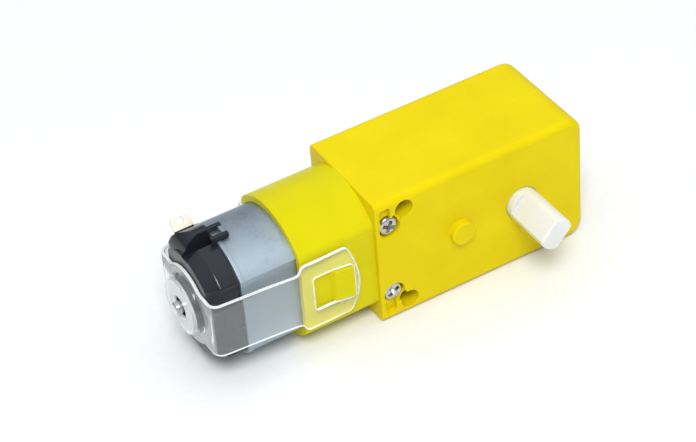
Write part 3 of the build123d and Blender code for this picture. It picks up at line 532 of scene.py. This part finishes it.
def strap_outlines():
    """The strap unrolled: u along it and z across it, outer outline first, then its holes."""
    middle = TOTAL / 2
    reach = math.sqrt(EYE_R**2 - BAND_Z**2)
    upper = [(0, HEAD_Z), (HEAD_U - SHOULDER, HEAD_Z), (HEAD_U, BAND_Z), (middle - reach, BAND_Z)]
    eye = []
    start = math.asin(BAND_Z / EYE_R)
    for k in range(1, ARC_STEPS):
        turn = math.pi - start - k / ARC_STEPS * (math.pi - 2 * start)
        eye.append((middle + EYE_R * math.cos(turn), EYE_R * math.sin(turn)))
    # the first corner only gives the next one its direction, so its arc is dropped
    upper = rounded([(0, -HEAD_Z)] + upper, HEAD_CORNER)[CORNER_STEPS + 1:]
    upper += [Vector(p) for p in eye]
    upper = [Vector((0, (k + 0.5) * END_STEP)) for k in range(END_POINTS)] + upper
    upper = [p for p in upper if p.x < middle - 0.01 * MM]
    half = upper + [Vector((middle, EYE_R))]
    outline = half + [Vector((TOTAL - p.x, p.y)) for p in reversed(upper)]
    outline += [Vector((p.x, -p.y)) for p in reversed(outline)]
    low, high = HEAD_END_X - WINDOW_X1, HEAD_END_X - WINDOW_X0
    window = [(low, -WINDOW_Z), (low, WINDOW_Z), (high, WINDOW_Z), (high, -WINDOW_Z)]
    far_window = [(TOTAL - u, z) for u, z in window]
    holes = [rounded(window, WINDOW_CORNER), rounded(far_window, WINDOW_CORNER)]
    holes.append(eye_circle(EYE_HOLE_R))
    return [[bulged(p) for p in loop] for loop in [outline] + holes]


def build_strap():
    """The strap: a flat plate, cut into slices, bent round its path and formed at the rear."""
    rings = [eye_circle(radius * MM) for radius in EYE_RINGS]
    bm = flat_plate(strap_outlines(), SHEET, RIM_ROUND, rings)
    cuts, u = [], 0.0
    while u < TOTAL:
        near_rear = path.place(u)[0].x < REAR_X + FINE_X
        u += FINE_SLICE if near_rear and abs(u - TOTAL / 2) > PLAIN_EYE else SLICE
        cuts.append(u)
    for u in cuts:
        bmesh.ops.bisect_plane(
            bm, geom=bm.verts[:] + bm.edges[:] + bm.faces[:], dist=1e-8,
            plane_co=(u, 0, 0), plane_no=(1, 0, 0),
        )
    bm.normal_update()
    for face in bm.faces:
        u, z, _ = face.calc_center_median()
        # the rear zone and the disc take the milkier looks, which are painted reflection
        look = REAR_SHEEN_SLOT if abs(u - TOTAL / 2) < REAR_SHEEN_REACH else SHEET_SLOT
        from_eye = math.hypot(u - TOTAL / 2, z)
        if from_eye < WALL_REACH:
            look = DISC_SLOT if from_eye < DISC_REACH else SHEET_SLOT
        face.material_index = EDGE_SLOT if abs(face.normal.z) < FLAT else look
    for vert in bm.verts:
        u, z, w = vert.co
        point, out = path.place(u)
        from_end = min(u, TOTAL - u)
        if from_end < 2 * HEAD_U:
            w += BOW * math.sin(math.pi * min(from_end / (BOW_SHARE * HEAD_U), 1.0)) ** 2
            w += END_LIFT * (1 - (z / HEAD_Z) ** 2) * smooth(1 - from_end / LIFT_REACH)
        w += DOME * smooth((DOME_R - math.hypot(u - TOTAL / 2, z)) / DOME_WIDTH)
        place = point + out * w
        vert.co = (place.x, place.y, z)
    outward(bm)
    mesh = mesh_of(bm, "clear_strap")
    shade(mesh, 40)
    return mesh


new_object(
    "clear_strap", build_strap(), "gearbox",
    [LOOKS["strap_plastic"], STRAP_EDGE_FROST_HIGHLIGHT, STRAP_REAR_PAINTED_SHEEN, STRAP_DISC_PAINTED_SHEEN], ["retaining_strap"],
)

# ------------------------------------------------------------------ case screws
screw_low, screw_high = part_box("case_screws")
HEAD_R = (screw_high.x - screw_low.x) / 2
SCREW_X = (screw_high.x + screw_low.x) / 2
SCREW_Z = screw_high.z - HEAD_R
TOP_Y = screw_low.y
HEAD_H = 1.2 * MM
SHANK_R = 0.95 * MM
THREAD_PITCH, THREAD_DEPTH = 0.7 * MM, 0.16 * MM
THREAD_STEPS = 8
TIP_LENGTH, TIP_STEPS, TIP_TAPER = 0.9 * MM, 8, 0.8
SIDES = 64
# radius and depth of the head and its neck in mm, for a head of this radius
NOMINAL_HEAD_R = 1.6 * MM
HEAD_PROFILE = [
    (0.0, 0.0), (0.5, 0.005), (0.9, 0.03), (1.2, 0.075), (1.4, 0.14), (1.5, 0.22),
    (1.57, 0.34), (1.6, 0.5), (1.6, 1.1), (1.55, 1.2), (1.02, 1.2), (0.95, 1.26),
]
# the recess's blades in mm: depth, half length and half width
BLADE = [(-0.6, 1.14, 0.36), (0.0, 1.06, 0.32), (0.6, 0.8, 0.24), (1.05, 0.42, 0.16)]
UPPER_TURN, LOWER_TURN = 24, 57


def screw_blank():
    """A pan-head screw along Y, its head's top at Y = 0 and its tip at +Y, with a coarse thread."""
    length = screw_high.y - TOP_Y
    rings = [(r * MM * HEAD_R / NOMINAL_HEAD_R, h * MM, 0.0) for r, h in HEAD_PROFILE]
    h = HEAD_H + 0.1 * MM
    while h < length - TIP_LENGTH:
        rings.append((SHANK_R, h, 1.0))
        h += THREAD_PITCH / THREAD_STEPS
    for k in range(TIP_STEPS + 1):
        share = k / TIP_STEPS
        radius = SHANK_R * (1 - TIP_TAPER * share**1.5)
        rings.append((radius, h + share * (length - h), 1 - share))
    bm = bmesh.new()
    rows = []
    for radius, height, cut in rings:
        if radius == 0:
            rows.append([bm.verts.new((0, height, 0))])
            continue
        row = []
        for k in range(SIDES):
            turn = 2 * math.pi * k / SIDES
            phase = (height / THREAD_PITCH + k / SIDES) % 1.0
            groove = THREAD_DEPTH * cut * min(1.0, abs(phase - 0.5) * 3)
            r = radius - groove
            row.append(bm.verts.new((r * math.cos(turn), height, r * math.sin(turn))))
        rows.append(row)
    for a, b in zip(rows, rows[1:]):
        for k in range(SIDES):
            m = (k + 1) % SIDES
            if len(a) == 1:
                bm.faces.new((a[0], b[k], b[m]))
            else:
                bm.faces.new((a[k], b[k], b[m], a[m]))
    bm.faces.new(rows[-1])
    bmesh.ops.recalc_face_normals(bm, faces=bm.faces)
    return mesh_of(bm, "screw")


def cross_cutter():
    """A cross-recess punch along Y: two blades that narrow with depth, around a small cone."""
    bm = bmesh.new()
    for turned_blade in (False, True):
        rows = []
        for depth, length, width in BLADE:
            corners = [(length, width), (-length, width), (-length, -width), (length, -width)]
            if turned_blade:
                corners = [(-b, a) for a, b in corners]
            rows.append([bm.verts.new((x * MM, depth * MM, z * MM)) for x, z in corners])
        for a, b in zip(rows, rows[1:]):
            for k in range(4):
                bm.faces.new((a[k], a[(k + 1) % 4], b[(k + 1) % 4], b[k]))
        bm.faces.new(rows[0])
        bm.faces.new(rows[-1])
    bmesh.ops.recalc_face_normals(bm, faces=bm.faces)
    cone = bmesh.ops.create_cone(
        bm, cap_ends=True, segments=16, radius1=0.52 * MM, radius2=0.16 * MM, depth=1.2 * MM,
        matrix=Matrix.Translation((0, 0.4 * MM, 0)) @ Matrix.Rotation(math.radians(-90), 4, "X"),
    )
    bmesh.ops.recalc_face_normals(bm, faces=list({f for v in cone["verts"] for f in v.link_faces}))
    return mesh_of(bm, "punch")


def cut(target, tool):
    """The target mesh less the tool mesh."""
    body = bpy.data.objects.new("body", target)
    punch = bpy.data.objects.new("punch", tool)
    for obj in (body, punch):
        bpy.context.scene.collection.objects.link(obj)
    modifier = body.modifiers.new("cut", "BOOLEAN")
    modifier.operation = "DIFFERENCE"
    modifier.solver = "EXACT"
    modifier.use_self = True
    modifier.object = punch
    bpy.context.view_layer.update()
    mesh = evaluated(body)
    bpy.data.objects.remove(punch)
    return mesh


def build_screws():
    """Both case screws, each turned to its own angle."""
    one = cut(screw_blank(), cross_cutter())
    bm = bmesh.new()
    for z, turn in ((SCREW_Z, UPPER_TURN), (-SCREW_Z, LOWER_TURN)):
        copy = one.copy()
        place = Matrix.Translation((SCREW_X, TOP_Y, z))
        copy.transform(place @ Matrix.Rotation(math.radians(turn), 4, "Y"))
        bm.from_mesh(copy)
    mesh = mesh_of(bm, "cross_screws")
    shade(mesh, 32)
    return mesh


new_object(
    "cross_screws", build_screws(), "gearbox", [LOOKS["screw_steel"]],
    ["case_screws"],
)

# ------------------------------------------------------------------ camera
AZIMUTH, ELEVATION, ROLL = (math.radians(a) for a in (-27.634, 40.035, -5.205))
DISTANCE = 353.973 * MM
TARGET = Vector((-24.794, 0, 2.134)) * MM
SENSOR, LENS = 36, 123.03
CLIP_NEAR, CLIP_FAR = 0.01, 20

camera_data = bpy.data.cameras.new("camera")
camera_data.sensor_width = SENSOR
camera_data.lens = LENS
camera_data.clip_start, camera_data.clip_end = CLIP_NEAR, CLIP_FAR
camera = bpy.data.objects.new("camera", camera_data)
bpy.context.scene.collection.objects.link(camera)
bpy.context.scene.camera = camera
back = Vector((
    math.sin(AZIMUTH) * math.cos(ELEVATION),
    -math.cos(AZIMUTH) * math.cos(ELEVATION),
    math.sin(ELEVATION),
))
right = Vector((math.cos(AZIMUTH), math.sin(AZIMUTH), 0))
up = back.cross(right)
axis_x = right * math.cos(ROLL) + up * math.sin(ROLL)
axis_y = up * math.cos(ROLL) - right * math.sin(ROLL)
turn = Matrix((axis_x, axis_y, back)).transposed().to_4x4()
camera.matrix_world = Matrix.Translation(TARGET + back * DISTANCE) @ turn

# ------------------------------------------------------------------ floor and light
FLOOR_HALF, FLOOR_GAP = 3, 0.02 * MM
SKY_LOW, SKY_HIGH = (0.06, 0.065, 0.075, 1), (0.93, 0.97, 1.0, 1)
SKY_STRENGTH = 1.2
# the key light: where it stands from the motor, how far, its side and its power in watts
KEY_FROM = Vector((-0.254, -0.522, 0.814))
KEY_MIDDLE = Vector((-0.02, 0, 0))
KEY_DISTANCE, KEY_SIZE, KEY_POWER = 0.9, 0.30, 4.9

floor_look = Tree("floor_paper")
fibre = floor_look.noise(1.2 * MM, 4)
floor_look.colour(fibre, [(0.3, (0.82, 0.82, 0.82)), (0.8, (0.85, 0.85, 0.85))])
floor_look.roughness(floor_look.spread(fibre, 0.75, 0.9))
floor_look.bump(fibre, 1e-6)
floor_look.set(Specular_IOR_Level=0.2)

bm = bmesh.new()
bmesh.ops.create_grid(bm, x_segments=8, y_segments=8, size=FLOOR_HALF)
floor = bpy.data.objects.new("floor", mesh_of(bm, "floor"))
floor.location = (0, 0, CAD_LOW.z - FLOOR_GAP)
floor.data.materials.append(floor_look.material)
bpy.context.scene.collection.objects.link(floor)

world = bpy.data.worlds.new("studio")
bpy.context.scene.world = world
world.use_nodes = True
world_nodes, world_links = world.node_tree.nodes, world.node_tree.links
coordinate = world_nodes.new("ShaderNodeTexCoord")
split = world_nodes.new("ShaderNodeSeparateXYZ")
ramp = world_nodes.new("ShaderNodeValToRGB")
world_links.new(coordinate.outputs["Generated"], split.inputs[0])
world_links.new(split.outputs["Z"], ramp.inputs["Fac"])
for element, place, colour in zip(ramp.color_ramp.elements, (0.0, 1.0), (SKY_LOW, SKY_HIGH)):
    element.position = place
    element.color = colour
background = world_nodes["Background"]
world_links.new(ramp.outputs["Color"], background.inputs["Color"])
background.inputs["Strength"].default_value = SKY_STRENGTH

lamp_data = bpy.data.lights.new("key_light", "AREA")
lamp_data.shape = "SQUARE"
lamp_data.size = KEY_SIZE
lamp_data.energy = KEY_POWER
lamp = bpy.data.objects.new("key_light", lamp_data)
bpy.context.scene.collection.objects.link(lamp)
away = KEY_FROM.normalized()
lamp.location = KEY_MIDDLE + away * KEY_DISTANCE
lamp.rotation_mode = "QUATERNION"
lamp.rotation_quaternion = (-away).to_track_quat("-Z", "Y")

bpy.context.scene.view_settings.view_transform = "Standard"
